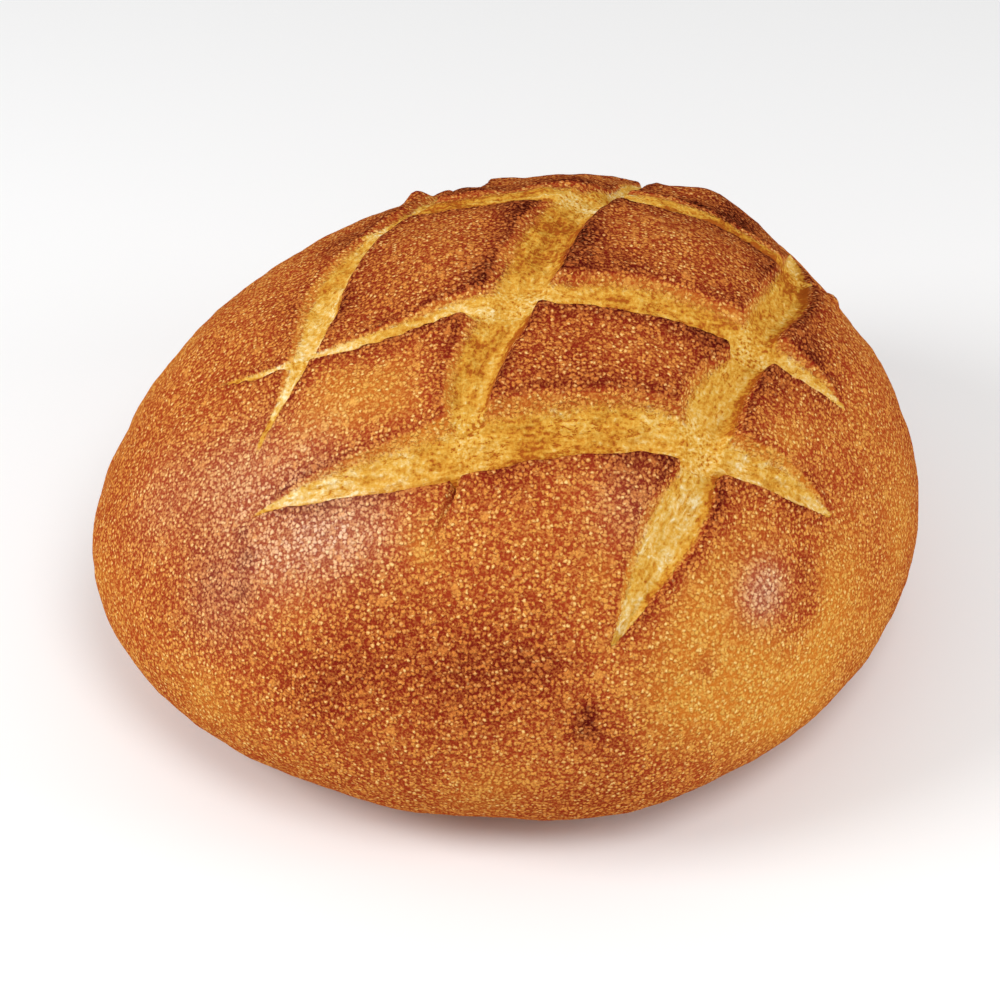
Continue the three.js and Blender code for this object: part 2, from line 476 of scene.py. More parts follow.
# Where the crust is browner, or paler below zero. Partly the crust's own browning and partly
# painted light and shade: the pale patches round the outer and lower rims are painted bounce
# light, and a few small spots lighten the shade under the front slash's lifted edge and paint a
# dark ring of shade beside the right-hand sheen.
BROWNED_AND_PAINTED_LIGHT = patches(
    (7, -5, 6, 0.26), (17, -2, 6, 0.18), (2, -10, 4, 0.14), (45, -5, 7, 0.14),
    (56, 4, 6, 0.05), (67, 18, 7, 0.38), (54, 22, 16, 0.20), (30, 14, 18, 0.08),
    (-8, 24, 8, 0.34), (-11, 10, 6, 0.14), (-17, -9, 7, 0.32), (-30, 14, 14, 0.04),
    (-50, -4, 9, 0.06), (42, -28, 8, 0.38), (31, -26, 7, 0.16), (-8, -48, 7, -0.04),
    (7, 4, 5, 0.30), (10, 9, 6, 0.20), (-13, -54, 6, 0.06), (-6, -34, 7, -0.12),
    (6, -40, 13, 0.11), (31, -46, 9, 0.14), (14, -33, 9, -0.10), (-24, -28, 8, 0.14),
    (-31, -50, 8, -0.06), (-26, -71, 5, -0.25), (-30, -90, 4, -0.2), (-46, -46, 16, -0.20),
    (-64, -38, 16, -0.16), (-82, -16, 18, -0.10), (66, -53, 8, -0.36), (80, -62, 8, -0.12),
    (24, -98, 10, -0.22), (-33, -76, 9, -0.14), (36, -34, 8, -0.10), (72, -14, 8, 0.30),
    (62, -34, 6, 0.18), (20, -70, 7, 0.14), (33, -69, 5, 0.22), (8, -80, 14, -0.06),
    (-64, -100, 10, -0.12), (-16, -126, 20, 0.24), (-38, -112, 18, 0.12),
    (4, -122, 11, 0.20), (-62, -126, 16, 0.20), (-90, -96, 14, 0.10), (20, -137, 4, 0.36),
    (21, -144, 5, 0.42), (30, -147, 8, 0.16), (48, -97, 14, -0.22), (48, -85, 6, -0.16),
    (62, -76, 12, -0.16), (70, -96, 8, 0.22), (52, -124, 24, -0.26), (88, -124, 26, -0.30),
    (106, -88, 26, -0.24), (84, -84, 6, 0.26), (90, -93, 6, 0.22), (85, -103, 12, 0.20),
    (56, -120, 5, 0.22), (20, -112, 12, -0.10), (-112, -116, 22, -0.18),
    (-107, -50, 22, 0.08), (-92, -81, 9, 0.16), (-80, -72, 3, 0.30), (-79, -80, 4, 0.35),
    (-82, -89, 4, 0.25), (-7, -174, 22, -0.20), (-22, -148, 14, 0.10),
    (108, -133, 14, -0.20), (130, -40, 22, -0.14), (146, -85, 22, -0.20),
    (125, -125, 20, -0.20), (-150, -50, 22, -0.12), (-125, 15, 25, -0.10),
    (52, 62, 18, 0.48), (40, 40, 4, 0.50), (48, 37, 4, 0.60), (54, 43, 7, 0.40),
    (28, 48, 7, 0.20), (-22, 50, 12, 0.30), (5, 51, 14, 0.30), (-46, 46, 12, 0.25),
    (-60, 34, 8, 0.30),
)
# Where the crumb is browner, or paler below zero.
CRUMB_TONES = patches(
    (-3, 6, 11, 0.6), (2, 18, 8, 0.4), (-14, -30, 8, 0.25), (58, -6, 12, 0.2),
    (10, -66, 18, 0.3), (22, -55, 6, 0.3), (-19, -57, 9, 0.6), (26, -20, 22, 0.4),
    (54, -30, 8, 0.4), (36, -84, 14, -0.42), (-46, -69, 14, -0.25), (-61, -18, 10, -0.45),
    (-67, -35, 7, -0.1), (-36, -23, 14, 0.3), (-22, -76, 4, 0.9), (42, -62, 9, 0.1),
    (-4, -67, 9, 0.5), (10, -67, 8, 0.45), (-32, 36, 8, 0.9), (-18, 37, 9, 0.9),
    (-4, 38, 6, 0.5), (3, 20, 9, 0.4), (34, 36, 7, 0.6), (48, 33, 9, 1.1),
    (62, 28, 10, 1.1), (75, 22, 8, 0.9),
)
# Where the crust shines: a glossier coat, and a painted pale sheen mixed into its colour.
GLOSSY_AND_PAINTED_SHEEN = patches(
    (-72, -72, 22, 0.5), (-48, -80, 12, 0.8), (-58, -78, 8, 0.4), (-67, -86, 10, 0.3),
    (-79, -53, 13, 0.45), (-60, -54, 9, 0.2), (-92, -90, 14, 0.3), (-104, -50, 15, 0.35),
    (69, -95, 8, 1.2), (22, -80, 10, 0.3),
)
# Where the crust stands prouder, in millimetres, or lower below zero.
KNOBS = patches(
    (-38, 62, 3.5, 3.0), (88, 27, 3.5, 2.6), (-14, 62, 9, -2.2), (-11, 45, 6, -1.6),
    (20, 44, 5, -1.6), (8, 54, 8, 0.8), (46, 54, 12, 3.3), (20, 51, 6, -2.4),
    (-9, 26, 5, 1.4), (97, 48, 17, -2.2),
)


class Mask(Enum):
    """The values painted on the mesh's points for the finishes to read."""

    CRUMB = "crumb"
    RIM = "rim"
    BROWNING_AND_PAINTED_LIGHT = "browning_and_painted_light"
    PALE = "pale"
    CROSSING = "crossing"
    PAINTED_POCKET_SHADE = "painted_pocket_shade"
    CRUMB_TONE = "crumb_tone"
    GLOSS_AND_PAINTED_SHEEN = "gloss_and_painted_sheen"
    BASE = "base"
    LENGTHWISE = "lengthwise"


@dataclass
class Cut:
    """One slash at each place of the crust.

    Place is the distance from its middle line in half widths, positive to its left. Half is
    its half width and width the same made uneven by the wobble. Left is its left direction.
    Inside is 1 in the slash and clear is 1 where no other slash crosses it.
    """

    slash: Slash
    wobble: np.ndarray
    place: np.ndarray
    half: np.ndarray
    width: np.ndarray
    left: np.ndarray
    inside: np.ndarray
    clear: np.ndarray

    def shift(self) -> np.ndarray:
        """How far the section moves each place sideways.

        Returns:
            One row of u and v for each place.
        """
        section = self.slash.section
        held = np.clip(self.place, section.place[0], section.place[-1])
        moved = (section.read(section.across, held) - held) * self.width
        return self.left * (moved * self.clear)[:, None]

    def height(self) -> np.ndarray:
        """The section's height at each place, in millimetres."""
        section = self.slash.section
        return section.read(section.height, self.place) * self.width


@dataclass(frozen=True)
class CutLook:
    """How the masks run across an opened slash, in half widths or, from its edge, millimetres."""

    steep_wobble: float = 0.06
    gentle_wobble: float = 0.12
    near_reach: float = 1.6
    near_start: Rise = Rise(-0.5, 0.1)
    wide_reach: float = 6.0
    wide_power: float = 1.3
    wide_start: Rise = Rise(-1.0, 0.6)
    steep_edge: tuple[float, float] = (0.62, 0.38)
    gentle_edge: tuple[float, float] = (0.3, 0.5)
    edge_wobble: float = 0.35
    edge_width: Rise = Rise(0.0, 2.5)
    slope_end: Rise = Rise(1.2, 0.95)
    slope_start: Rise = Rise(-0.2, 0.3)
    slope_width: Rise = Rise(1.0, 3.0)
    crest_place: float = 0.45
    crest_wobble: float = 0.1
    crest_reach: float = 0.16
    crest_width: Rise = Rise(1.0, 4.0)
    crest_full: Rise = Rise(9.0, 6.0)
    crest_share: tuple[float, float] = (0.35, 0.65)
    narrow_top: Rise = Rise(6.0, 2.5)
    narrow_low: Rise = Rise(0.6, 2.2)
    narrow_place: Rise = Rise(1.1, 0.9)
    narrow_strength: float = 1.1
    pocket_shade_place: float = 0.88
    pocket_shade_reach: float = 0.24
    crossing_width: Rise = Rise(1.0, 4.0)

    def crumb(self, cut: Cut) -> np.ndarray:
        """Where the slash shows crumb: between the crust edge and the gentle wall's slope.

        Args:
            cut: The slash at each place.

        Returns:
            1 on bare crumb and 0 on crust, for each place.
        """
        steep = cut.slash.section.crumb.at(cut.place + self.steep_wobble * cut.wobble)
        gentle = cut.slash.slope.at(cut.place + self.gentle_wobble * cut.wobble)
        return steep * gentle * cut.slash.opening.at(cut.half)

    def rim(self, cut: Cut) -> np.ndarray:
        """How much the slash browns the crust along its edges: a thin line in a wide band.

        Args:
            cut: The slash at each place.

        Returns:
            One value for each place.
        """
        beyond = (np.abs(cut.place) - 1.0) * cut.width
        away = np.maximum(beyond, 0.0)
        near = np.exp(-(away / self.near_reach)) * self.near_start.at(beyond)
        wide = np.exp(-((away / self.wide_reach) ** self.wide_power)) * self.wide_start.at(beyond)
        edge = np.where(cut.place < 0,
                        self.steep_edge[0] * near + self.steep_edge[1] * wide,
                        self.gentle_edge[0] * near + self.gentle_edge[1] * wide)
        edge *= np.where(cut.place < 0, 1.0, cut.slash.rim) * (1.0 + self.edge_wobble * cut.wobble)
        return edge * self.edge_width.at(cut.half)

    def slope(self, cut: Cut) -> np.ndarray:
        """Where the gentle wall runs up, which stays paler than the crust's edges.

        Args:
            cut: The slash at each place.

        Returns:
            From 0 to 1 for each place.
        """
        fade = self.slope_end.at(cut.place) * self.slope_start.at(cut.place)
        return fade * self.slope_width.at(cut.half)

    def crest(self, cut: Cut) -> np.ndarray:
        """The pale line of torn crumb near the steep wall.

        Args:
            cut: The slash at each place.

        Returns:
            From 0 to 1 for each place.
        """
        off = cut.place + self.crest_place + self.crest_wobble * cut.wobble
        crest = np.exp(-((off / self.crest_reach) ** 2)) * cut.clear
        least, more = self.crest_share
        return crest * (self.crest_width.at(cut.half) * (least + more * self.crest_full.at(cut.half)))

    def narrow(self, cut: Cut) -> np.ndarray:
        """The pale crumb where a slash narrows to its end.

        Args:
            cut: The slash at each place.

        Returns:
            One value for each place.
        """
        narrow = self.narrow_top.at(cut.half) * self.narrow_low.at(cut.half)
        narrow *= self.narrow_place.at(np.abs(cut.place)) * cut.clear
        return self.narrow_strength * narrow

    def painted_pocket_shade(self, cut: Cut) -> np.ndarray:
        """Painted shade in the hollow under the lifted crust edge.

        Args:
            cut: The slash at each place.

        Returns:
            From 0 to 1 for each place.
        """
        off = (cut.place + self.pocket_shade_place) / self.pocket_shade_reach
        return np.exp(-(off**2)) * cut.clear

    def crossing(self, cut: Cut) -> np.ndarray:
        """Where another slash crosses this one."""
        return cut.inside * (1.0 - cut.clear) * self.crossing_width.at(cut.half)


@dataclass
class SlashReading:
    """What all slashes together do to each place of the crust.

    The shift is a row of u and v and the height is in millimetres, as is the distance to the
    nearest slash's edge. The masks are one value for each place.
    """

    shift: np.ndarray
    height: np.ndarray
    distance: np.ndarray
    masks: dict[Mask, np.ndarray]


@dataclass
class BakedLoaf:
    """The loaf's one mesh: shaped from a ball, cut and torn.

    Crust down and fine down are how far the finer faces reach, in degrees from the top. Fine
    widths and fine margin, in half widths and millimetres, are how far they reach from a slash's
    middle line. Puff is how the crust stands up away from the slashes. The sizes of the fibres
    and lumps are in millimetres.
    """

    dome: Dome = field(default_factory=Dome)
    look: CutLook = field(default_factory=CutLook)
    slashes: tuple[Slash, ...] = SLASHES
    cuts: int = 55
    crust_down: float = 99.0
    fine_down: float = 80.0
    fine_widths: float = 1.22
    fine_margin: float = 0.9
    inside: Rise = Rise(1.12, 0.8)
    wobble: Lumps = Lumps(1.0, 9.0, 3.0)
    width_wobble: float = 0.10
    narrowest: float = 0.45
    sunk_power: float = 4.0
    slope_pales: float = 0.4
    fibre_sharpness: float = 2.0
    fibre_least: float = 1e-6
    sideways_weight: float = 4.0
    puff_height: float = 2.4
    puff_reach: float = 17.0
    rim_dulls: float = 0.6
    base_edge: Rise = Rise(0.3, 0.45)
    browned_and_painted_light: tuple[Spot, ...] = BROWNED_AND_PAINTED_LIGHT
    crumb_tones: tuple[Spot, ...] = CRUMB_TONES
    glossy_and_painted_sheen: tuple[Spot, ...] = GLOSSY_AND_PAINTED_SHEEN
    knobs: tuple[Spot, ...] = KNOBS
    crust_lumps: tuple[Lumps, ...] = (
        Lumps(1.1, 34.0, 1.0), Lumps(0.35, 9.0, 2.0), Lumps(0.16, 3.2, 8.0, 1),
    )
    crumb_lumps: tuple[Lumps, ...] = (Lumps(0.45, 2.4, 6.0, 3), Lumps(0.7, 7.0, 9.0))
    fibre_lumps: tuple[Lumps, Lumps] = (Lumps(1.0, 1.7, 5.0, 3), Lumps(1.0, 1.7, 7.0, 3))
    fibre_height: float = 0.6
    torn_from: float = 0.05
    rim_points: int = 721

    def ball(self) -> bpy.types.Object:
        """Makes a ball of even faces, finer on the crust and finest along the slashes.

        Returns:
            The ball, of radius 1, in object mode.
        """
        bpy.ops.object.select_all(action="DESELECT")
        bpy.ops.mesh.primitive_cube_add(size=2.0, location=(0.0, 0.0, 0.0))
        ball = bpy.context.object
        ball.name = "baked_loaf"
        bpy.ops.object.mode_set(mode="EDIT")
        bpy.ops.mesh.subdivide(number_cuts=self.cuts)
        bpy.ops.transform.tosphere(value=1.0)
        bpy.ops.object.mode_set(mode="OBJECT")
        self.refine(ball, self.on_crust)
        self.refine(ball, self.on_slash)
        return ball

    def directions(self, ball: bpy.types.Object) -> np.ndarray:
        """The ball's points as directions from its middle.

        Args:
            ball: The ball.

        Returns:
            One row of length 1 for each point.
        """
        flat = np.empty(len(ball.data.vertices) * 3)
        ball.data.vertices.foreach_get("co", flat)
        places = flat.reshape(-1, 3)
        return places / np.linalg.norm(places, axis=1, keepdims=True)

    def crown_place(self, direction: np.ndarray) -> tuple[np.ndarray, np.ndarray, np.ndarray]:
        """The crown map's place for each direction from the ball's middle.

        Args:
            direction: One row of length 1 for each point.

        Returns:
            u, v and the angle down from the top, each with one value for each point.
        """
        down = np.arccos(np.clip(direction[:, 2], -1.0, 1.0))
        bearing = np.arctan2(direction[:, 1], direction[:, 0])
        length = self.dome.crown_scale * down
        return length * np.cos(bearing), length * np.sin(bearing), down

    def on_crust(self, u: np.ndarray, v: np.ndarray, down: np.ndarray) -> np.ndarray:
        """Whether each place is on the crust above the curve to the base."""
        return down < math.radians(self.crust_down)

    def on_slash(self, u: np.ndarray, v: np.ndarray, down: np.ndarray) -> np.ndarray:
        """Whether each place is in a slash or on its edges.

        Args:
            u: Lengths to the right along the crust.
            v: Lengths to the back along the crust.
            down: The angle down from the top.

        Returns:
            True or False for each place.
        """
        near = np.zeros(len(u), bool)
        high = down < math.radians(self.fine_down)
        for slash in self.slashes:
            across, half, _ = slash.measure(u, v)
            near |= (np.abs(across) < self.fine_widths * half + self.fine_margin) & high
        return near

    def refine(self, ball: bpy.types.Object,
               wanted: Callable[[np.ndarray, np.ndarray, np.ndarray], np.ndarray]) -> None:
        """Halves the faces whose middles are wanted.

        Args:
            ball: The ball, in object mode.
            wanted: A test that takes u, v and the angle down, and says which places to refine.
        """
        middles = np.empty(len(ball.data.polygons) * 3)
        ball.data.polygons.foreach_get("center", middles)
        middles = middles.reshape(-1, 3)
        middles /= np.linalg.norm(middles, axis=1, keepdims=True)
        chosen = wanted(*self.crown_place(middles))
        ball.data.polygons.foreach_set("select", chosen)
        bpy.ops.object.mode_set(mode="EDIT")
        bpy.ops.mesh.select_mode(type="FACE")
        bpy.ops.object.mode_set(mode="OBJECT")
        ball.data.polygons.foreach_set("select", chosen)
        bpy.ops.object.mode_set(mode="EDIT")
        bpy.ops.mesh.subdivide(number_cuts=1)
        bpy.ops.mesh.select_all(action="DESELECT")
        bpy.ops.object.mode_set(mode="OBJECT")

    def find_cuts(self, u: np.ndarray, v: np.ndarray) -> list[Cut]:
        """Measures every slash at each place of the crust.

        Args:
            u: Lengths to the right along the crust.
            v: Lengths to the back along the crust.

        Returns:
            One cut for each slash.
        """
        wobble = self.wobble.at(np.stack([u, v, np.zeros(len(u))], axis=1))
        found = []
        for slash in self.slashes:
            across, half, left = slash.measure(u, v)
            width = np.maximum(half, self.narrowest) * (1.0 + self.width_wobble * wobble)
            place = across / width
            inside = self.inside.at(np.abs(place))
            found.append(Cut(slash, wobble, place, half, width, left, inside, np.ones(len(u))))
        for cut in found:
            for other in found:
                if other is not cut:
                    cut.clear *= 1.0 - other.inside
        return found

    def read_slashes(self, u: np.ndarray, v: np.ndarray) -> SlashReading:
        """Works out what the slashes do at each place of the crust.

        Args:
            u: Lengths to the right along the crust.
            v: Lengths to the back along the crust.

        Returns:
            The reading, with one row or value for each place.
        """
        count = len(u)
        shift = np.zeros((count, 2))
        lift, sunk, slope, lengthwise = (np.zeros(count) for _ in range(4))
        held = np.full(count, TINY)
        distance = np.full(count, np.inf)
        masks = {mask: np.zeros(count)
                 for mask in (Mask.CRUMB, Mask.RIM, Mask.PALE, Mask.PAINTED_POCKET_SHADE, Mask.CROSSING)}
        for cut in self.find_cuts(u, v):
            height = cut.height()
            shift += cut.shift()
            lift += np.maximum(height, 0.0) * cut.clear
            sunk += np.maximum(-height, 0.0) ** self.sunk_power
            slope = np.maximum(slope, self.look.slope(cut))
            for mask, values in ((Mask.CRUMB, self.look.crumb(cut)),
                                 (Mask.RIM, self.look.rim(cut)),
                                 (Mask.PALE, self.look.crest(cut)),
                                 (Mask.PALE, self.look.narrow(cut)),
                                 (Mask.PAINTED_POCKET_SHADE, self.look.painted_pocket_shade(cut)),
                                 (Mask.CROSSING, self.look.crossing(cut))):
                masks[mask] = np.maximum(masks[mask], values)
            is_long = cut.slash.kind is SlashKind.SPREAD
            weight = np.exp(-self.fibre_sharpness * cut.place**2) + self.fibre_least
            weight = weight * (1.0 if is_long else self.sideways_weight)
            lengthwise += weight * is_long
            held += weight
            distance = np.minimum(distance,
                                  np.maximum(np.abs(cut.place) * cut.width - cut.half, 0.0))
        masks[Mask.RIM] = masks[Mask.RIM] * (1.0 - slope) - self.slope_pales * slope
        masks[Mask.LENGTHWISE] = lengthwise / held
        return SlashReading(shift, lift - sunk ** (1.0 / self.sunk_power), distance, masks)

    def shape(self, ball: bpy.types.Object, offset: np.ndarray) -> None:
        """Moves the ball's points onto the loaf and paints the masks.

        Args:
            ball: The ball, of radius 1.
            offset: How far the whole loaf is moved, in millimetres.
        """
        direction = self.directions(ball)
        u, v, down = self.crown_place(direction)
        bearing = np.arctan2(direction[:, 1], direction[:, 0])
        top = down <= math.pi / 2
        below = down[~top] / (math.pi / 2) - 1.0
        places = np.empty_like(direction)
        places[~top] = self.dome.under(below, bearing[~top])
        reading = self.read_slashes(u[top], v[top])
        at_u, at_v = u[top] + reading.shift[:, 0], v[top] + reading.shift[:, 1]
        puff = self.puff_height * (1.0 - np.exp(-((reading.distance / self.puff_reach) ** 2)))
        height = reading.height + puff * np.maximum(np.cos(down[top]), 0.0)
        for knob in self.knobs:
            height = height + knob.weight(u[top], v[top])
        places[top] = (self.dome.point(at_u, at_v)
                       + self.dome.normal(at_u, at_v) * height[:, None])
        masks = {mask: np.zeros(len(direction)) for mask in Mask}
        for mask, values in reading.masks.items():
            masks[mask][top] = values
        # Browning of the crust, partly painted light and shade.
        masks[Mask.BROWNING_AND_PAINTED_LIGHT] = total(self.browned_and_painted_light, u, v)
        masks[Mask.CRUMB_TONE] = total(self.crumb_tones, u, v)
        # Where the crust shines: gloss in the coat and a painted sheen in the colour.
        masks[Mask.GLOSS_AND_PAINTED_SHEEN] = total(self.glossy_and_painted_sheen, u, v)
        rim = np.clip(reading.masks[Mask.RIM], 0.0, 1.0)
        masks[Mask.GLOSS_AND_PAINTED_SHEEN][top] *= 1.0 - self.rim_dulls * rim
        masks[Mask.BASE][~top] = self.base_edge.at(below)
        unrolled = np.stack([u, v, np.zeros(len(u))], axis=1)
        self.roughen(places, outward(direction), masks, unrolled)
        places += offset
        self.write(ball, places, masks, unrolled)

    def roughen(self, places: np.ndarray, out: np.ndarray, masks: dict[Mask, np.ndarray],
                unrolled: np.ndarray) -> None:
        """Adds lumps to the crust and torn fibres to the crumb.

        Args:
            places: The points, in millimetres, which are moved.
            out: The outward direction at each point.
            masks: The painted masks.
            unrolled: Places on the crown map.
        """
        crumb = masks[Mask.CRUMB]
        crust = (1.0 - crumb) * (1.0 - masks[Mask.BASE])
        lumps = sum(layer.at(places) for layer in self.crust_lumps)
        places += out * (lumps * crust)[:, None]
        inner = crumb > self.torn_from
        share = masks[Mask.LENGTHWISE][inner]
        sideways = self.fibre_lumps[0].at(fibre_places(unrolled[inner], 0.0))
        lengthwise = self.fibre_lumps[1].at(fibre_places(unrolled[inner], FIBRE_TURN))
        torn = self.fibre_height * (sideways * (1.0 - share) + lengthwise * share)
        torn += sum(layer.at(places[inner]) for layer in self.crumb_lumps)
        places[inner] += out[inner] * (torn * crumb[inner])[:, None]

    def write(self, ball: bpy.types.Object, places: np.ndarray, masks: dict[Mask, np.ndarray],
              unrolled: np.ndarray) -> None:
        """Writes the points, masks and crown map to the mesh.

        Args:
            ball: The mesh's object.
            places: The points, in millimetres.
            masks: One value for each point under each mask.
            unrolled: Places on the crown map, in millimetres.
        """
        mesh = ball.data
        mesh.vertices.foreach_set("co", (places * MM).ravel())
        for mask, values in masks.items():
            layer = mesh.attributes.new(mask.value, "FLOAT", "POINT")
            layer.data.foreach_set("value", values.astype(np.float32))
        layer = mesh.attributes.new(CROWN_MAP, "FLOAT_VECTOR", "POINT")
        layer.data.foreach_set("vector", (unrolled * MM).astype(np.float32).ravel())
        mesh.update()

    def build(self, low: Vector, high: Vector) -> bpy.types.Object:
        """Builds the loaf so that its outline is centred in the CAD solid's box.

        Args:
            low: The box's lowest corner, in metres.
            high: The box's highest corner.

        Returns:
            The finished object, not yet dressed.
        """
        loaf = self.ball()
        bearing = np.linspace(-math.pi, math.pi, self.rim_points)
        rim = self.dome.under(np.zeros(self.rim_points), bearing)
        middle = (rim.min(0) + rim.max(0)) / 2
        offset = np.array([(low.x + high.x) / 2 / MM - middle[0],
                           (low.y + high.y) / 2 / MM - middle[1],
                           0.0])
        self.shape(loaf, offset)
        bpy.ops.object.select_all(action="DESELECT")
        loaf.select_set(True)
        bpy.context.view_layer.objects.active = loaf
        bpy.ops.object.mode_set(mode="EDIT")
        bpy.ops.mesh.select_all(action="SELECT")
        bpy.ops.mesh.quads_convert_to_tris(quad_method="BEAUTY", ngon_method="BEAUTY")
        bpy.ops.mesh.normals_make_consistent(inside=False)
        bpy.ops.mesh.select_all(action="DESELECT")
        bpy.ops.object.mode_set(mode="OBJECT")
        bpy.ops.object.shade_smooth()
        return loaf


# ---------------------------------------------------------------------------
# Finishes
# ---------------------------------------------------------------------------
Colour = tuple[float, float, float, float]
Ramp = tuple[tuple[float, Colour], ...]
Value = Union[bpy.types.NodeSocket, float]
Paint = Union[bpy.types.NodeSocket, Colour]


class Graph:
    """A short way to add nodes and links to one node tree."""

    def __init__(self, tree: bpy.types.NodeTree) -> None:
        """Keeps the tree that nodes are added to."""
        self.tree = tree

    def feed(self, socket: bpy.types.NodeSocket, value: object) -> None:
        """Gives an input its value, or links another node's output to it.

        Args:
            socket: The input.
            value: The value or the output.
        """
        if isinstance(value, bpy.types.NodeSocket):
            self.tree.links.new(value, socket)
        else:
            socket.default_value = value

    def add(self, kind: str, inputs: dict[str | int, object] | None = None,
            **settings: object) -> bpy.types.Node:
        """Adds a node.

        Args:
            kind: The node's type name, without "ShaderNode".
            inputs: Values or sockets for its inputs, by name or number.
            **settings: Properties of the node.

        Returns:
            The new node.
        """
        node = self.tree.nodes.new("ShaderNode" + kind)
        for name, value in settings.items():
            setattr(node, name, value)
        for name, value in (inputs or {}).items():
            self.feed(node.inputs[name], value)
        return node

    def math(self, operation: str, a: Value, b: Value = 0.0,
             clamp: bool = False) -> bpy.types.NodeSocket:
        """A Math node's result for two values or sockets."""
        return self.add("Math", {0: a, 1: b}, operation=operation, use_clamp=clamp).outputs[0]

    def scaled(self, value: Value, factor: float, plus: float = 0.0) -> bpy.types.NodeSocket:
        """A value times a factor, plus a constant."""
        return self.add("Math", {0: value, 1: factor, 2: plus}, operation="MULTIPLY_ADD").outputs[0]

    def total(self, values: tuple[Value, ...]) -> bpy.types.NodeSocket:
        """Adds up values, held between 0 and 1.

        Args:
            values: At least two values or sockets.

        Returns:
            Their sum.
        """
        found = values[0]
        for value in values[1:-1]:
            found = self.math("ADD", found, value)
        return self.math("ADD", found, values[-1], clamp=True)

    def mask(self, mask: Mask) -> bpy.types.NodeSocket:
        """The value painted on the mesh under a mask's name."""
        return self.add("Attribute", attribute_name=mask.value).outputs["Fac"]

    def grain(self, place: bpy.types.NodeSocket, scale: float, detail: float) -> bpy.types.NodeSocket:
        """A noise texture's value at a place."""
        return self.add("TexNoise", {"Vector": place, "Scale": scale, "Detail": detail}).outputs["Fac"]

    def remap(self, value: Value, low: float, high: float, to_low: float = 0.0,
              to_high: float = 1.0) -> bpy.types.NodeSocket:
        """Maps a value smoothly from one range to another, held at the ends.

        Args:
            value: The value or socket.
            low: The value that becomes to_low.
            high: The value that becomes to_high.
            to_low: One end of the new range.
            to_high: The other end.

        Returns:
            The mapped value.
        """
        return self.add(
            "MapRange",
            {"Value": value, "From Min": low, "From Max": high, "To Min": to_low, "To Max": to_high},
            interpolation_type="SMOOTHSTEP",
        ).outputs["Result"]

    def ramp(self, value: Value, stops: Ramp) -> bpy.types.NodeSocket:
        """Turns a value into a colour.

        Args:
            value: The value or socket, from 0 to 1.
            stops: The ramp's places and their colours.

        Returns:
            The ramp's colour.
        """
        node = self.add("ValToRGB", {"Fac": value})
        elements = node.color_ramp.elements
        while len(elements) < len(stops):
            elements.new(0.5)
        for element, (place, colour) in zip(elements, stops):
            element.position = place
            element.color = colour
        return node.outputs["Color"]

    def mix(self, share: Value, a: Paint, b: Paint) -> bpy.types.NodeSocket:
        """Mixes two colours, from a at share 0 to b at share 1."""
        return self.add("Mix", {0: share, 6: a, 7: b}, data_type="RGBA").outputs[2]

    def blend(self, share: Value, a: Value, b: Value) -> bpy.types.NodeSocket:
        """Mixes two values, from a at share 0 to b at share 1."""
        return self.add("Mix", {0: share, 2: a, 3: b}, data_type="FLOAT").outputs[0]


